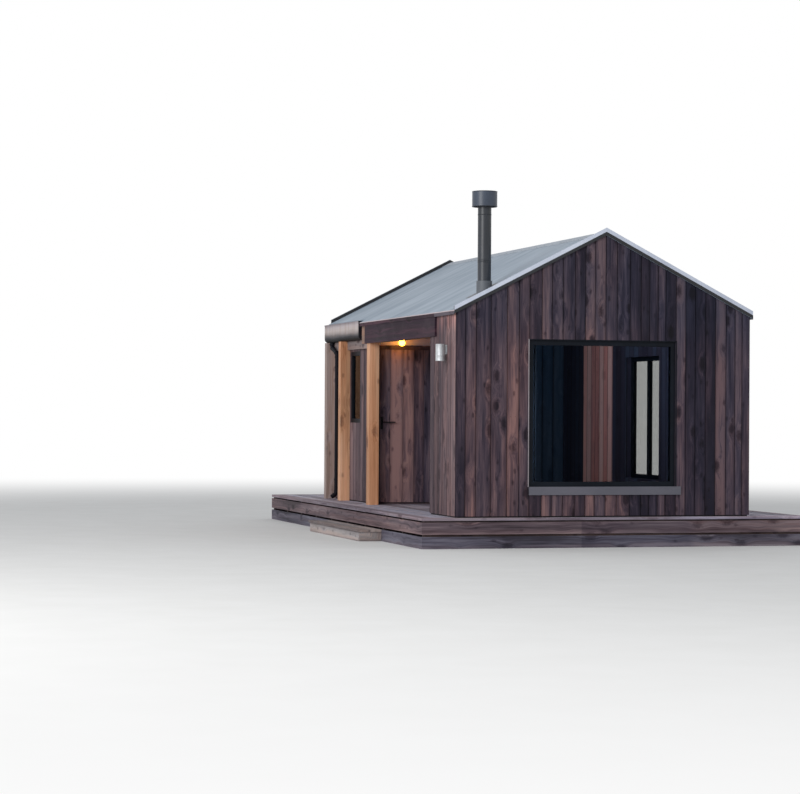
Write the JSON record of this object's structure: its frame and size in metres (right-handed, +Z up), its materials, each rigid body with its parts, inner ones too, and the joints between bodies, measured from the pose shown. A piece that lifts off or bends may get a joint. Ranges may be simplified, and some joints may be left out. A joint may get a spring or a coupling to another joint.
{
  "type": "timber garden hut",
  "caption": "Gabled timber hut with a recessed side porch, a plank door, a picture window and a flue, on a raised timber deck.",
  "frame": {"origin": "middle of the whole object's footprint, on the ground the deck bearers lie on", "axes": "front gable faces -Y, +Y runs along the ridge to the rear, the porch side faces -X, +Z up"},
  "size_m": [5, 7.725, 4.0975],
  "materials": {
    "deck_frame_timber": "weathered",
    "deck_edge_timber": "weathered",
    "deck_boards": "weathered",
    "step_boards": "weathered",
    "floor_boards": "oiled",
    "inner_lining": "oiled",
    "outside_boards": "weathered",
    "roof_lining": "oiled",
    "roof_sheet": "matt",
    "ridge_sheet": "matt",
    "verge_sheet": "satin",
    "verge_trim": "satin",
    "post_timber": "oiled",
    "beam_timber": "weathered",
    "fascia_timber": "weathered",
    "ceiling_boards": "weathered",
    "pale_board": "weathered",
    "eaves_timber": "weathered",
    "rail_timber": "weathered",
    "gutter_sheet": "satin",
    "downpipe_metal": "satin",
    "window_metal": "satin",
    "window_pane": "clear",
    "sill_sheet": "satin",
    "door_frame_timber": "weathered",
    "door_boards": "weathered",
    "door_metal": "satin",
    "flue_metal": "matt",
    "flashing_metal": "matt",
    "wall_lamp_metal": "galvanised",
    "lamp_holder": "satin",
    "bulb_glass": "clear"
  },
  "bodies": {
    "hut": {"deck_joists": "deck_frame_timber", "deck_edge_boards": "deck_edge_timber", "deck_surface": "deck_boards", "side_step": "step_boards", "floor": "floor_boards", "front_wall": "inner_lining", "back_wall": "inner_lining", "right_wall": "inner_lining", "left_walls": "inner_lining", "porch_return_wall": "inner_lining", "porch_side_wall": "inner_lining", "door_side_wall": "inner_lining", "door_lintel": "inner_lining", "front_cladding": "outside_boards", "back_cladding": "outside_boards", "right_cladding": "outside_boards", "left_cladding": "outside_boards", "porch_cladding": "outside_boards", "roof_frame_left": "roof_lining", "roof_frame_right": "roof_lining", "roof_cover_left": "roof_sheet", "roof_cover_right": "roof_sheet", "ridge_cap": "ridge_sheet", "verge_kerbs": "verge_trim", "verge_strips": "verge_sheet", "verge_trims": "verge_trim", "porch_posts": "post_timber", "porch_beam": "beam_timber", "porch_fascia": "fascia_timber", "porch_ceiling": "ceiling_boards", "door_frieze": "pale_board", "eaves_board": "eaves_timber", "eaves_rail": "rail_timber", "eaves_gutter": "gutter_sheet", "downpipe": "downpipe_metal", "window_frames": "window_metal", "window_glass": "window_pane", "window_sill": "sill_sheet", "door_frame": "door_frame_timber", "frame_hinges": "door_metal", "flue_pipe": "flue_metal", "flue_cowl": "flue_metal", "flue_flashing": "flashing_metal", "wall_lamp": "wall_lamp_metal", "porch_lamp": "lamp_holder", "porch_bulb": "bulb_glass"},
    "door": {"door_leaf": "door_boards", "door_latch": "door_metal", "leaf_hinges": "door_metal"}
  },
  "joints": [
    {"name": "door_hinge", "type": "hinge", "parent": "hut", "child": "door", "pos_m": [-0.801, 0.0985, 1.3655], "axis": [0, 0, 1], "range_deg": [0, 90]}
  ]
}
